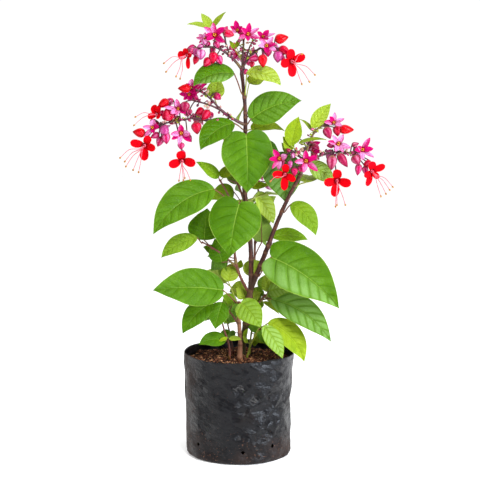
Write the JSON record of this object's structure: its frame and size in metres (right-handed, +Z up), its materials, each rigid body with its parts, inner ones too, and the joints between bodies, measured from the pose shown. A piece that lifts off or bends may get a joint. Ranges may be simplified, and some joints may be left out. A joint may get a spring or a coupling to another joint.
{
  "type": "potted glorybower shrub in flower",
  "caption": "Young flowering shrub with broad veined leaves and clusters of pink calyces and red blooms, growing in a round black film grow bag filled with potting mix.",
  "frame": {"origin": "centre of the bag's flat underside", "axes": "+Z up along the main stem, -Y towards the plant's front, +X to the right as seen from the front"},
  "size_m": [0.3633, 0.1806, 0.5976],
  "materials": {
    "bag_film": "creased black film with a soft sheen, dusty at the foot",
    "coir_mix": "loose red-brown coir chips",
    "dark_bark": "smooth purple-brown young bark",
    "pale_bark": "pale tan old bark with leaf scars",
    "foliage": "fresh to deep green leaves with sunk veins",
    "blossom": "pink calyces and scarlet petals"
  },
  "bodies": {
    "root": {"back_foliage": "foliage", "blossom_left_lower": "blossom", "blossom_left_upper": "blossom", "blossom_right": "blossom", "blossom_top": "blossom", "foot_back_foliage": "foliage", "foot_left_foliage": "foliage", "foot_rear_foliage": "foliage", "foot_right_foliage": "foliage", "grow_bag": "bag_film", "leader": "dark_bark", "leaf_back_bough": "foliage", "leaf_back_high": "foliage", "leaf_back_left": "foliage", "leaf_back_middle": "foliage", "leaf_back_right": "foliage", "leaf_back_top": "foliage", "leaf_behind_right": "foliage", "leaf_behind_trunk": "foliage", "leaf_big_left": "foliage", "leaf_bough_back": "foliage", "leaf_bough_front": "foliage", "leaf_bough_side": "foliage", "leaf_bough_small": "foliage", "leaf_dark_centre": "foliage", "leaf_front": "foliage", "leaf_heart_high": "foliage", "leaf_heart_low": "foliage", "leaf_high_back": "foliage", "leaf_high_left": "foliage", "leaf_high_right": "foliage", "leaf_largest": "foliage", "leaf_mid_far_right": "foliage", "leaf_mid_right": "foliage", "leaf_top_left": "foliage", "leaf_top_right": "foliage", "leaf_top_under": "foliage", "leaf_yellow": "foliage", "left_foliage": "foliage", "low_left_foliage": "foliage", "low_right_foliage": "foliage", "potting_mix": "coir_mix", "rear_left_foliage": "foliage", "right_bough": "dark_bark", "trunk": "dark_bark", "woody_stub": "pale_bark"}
  },
  "joints": []
}
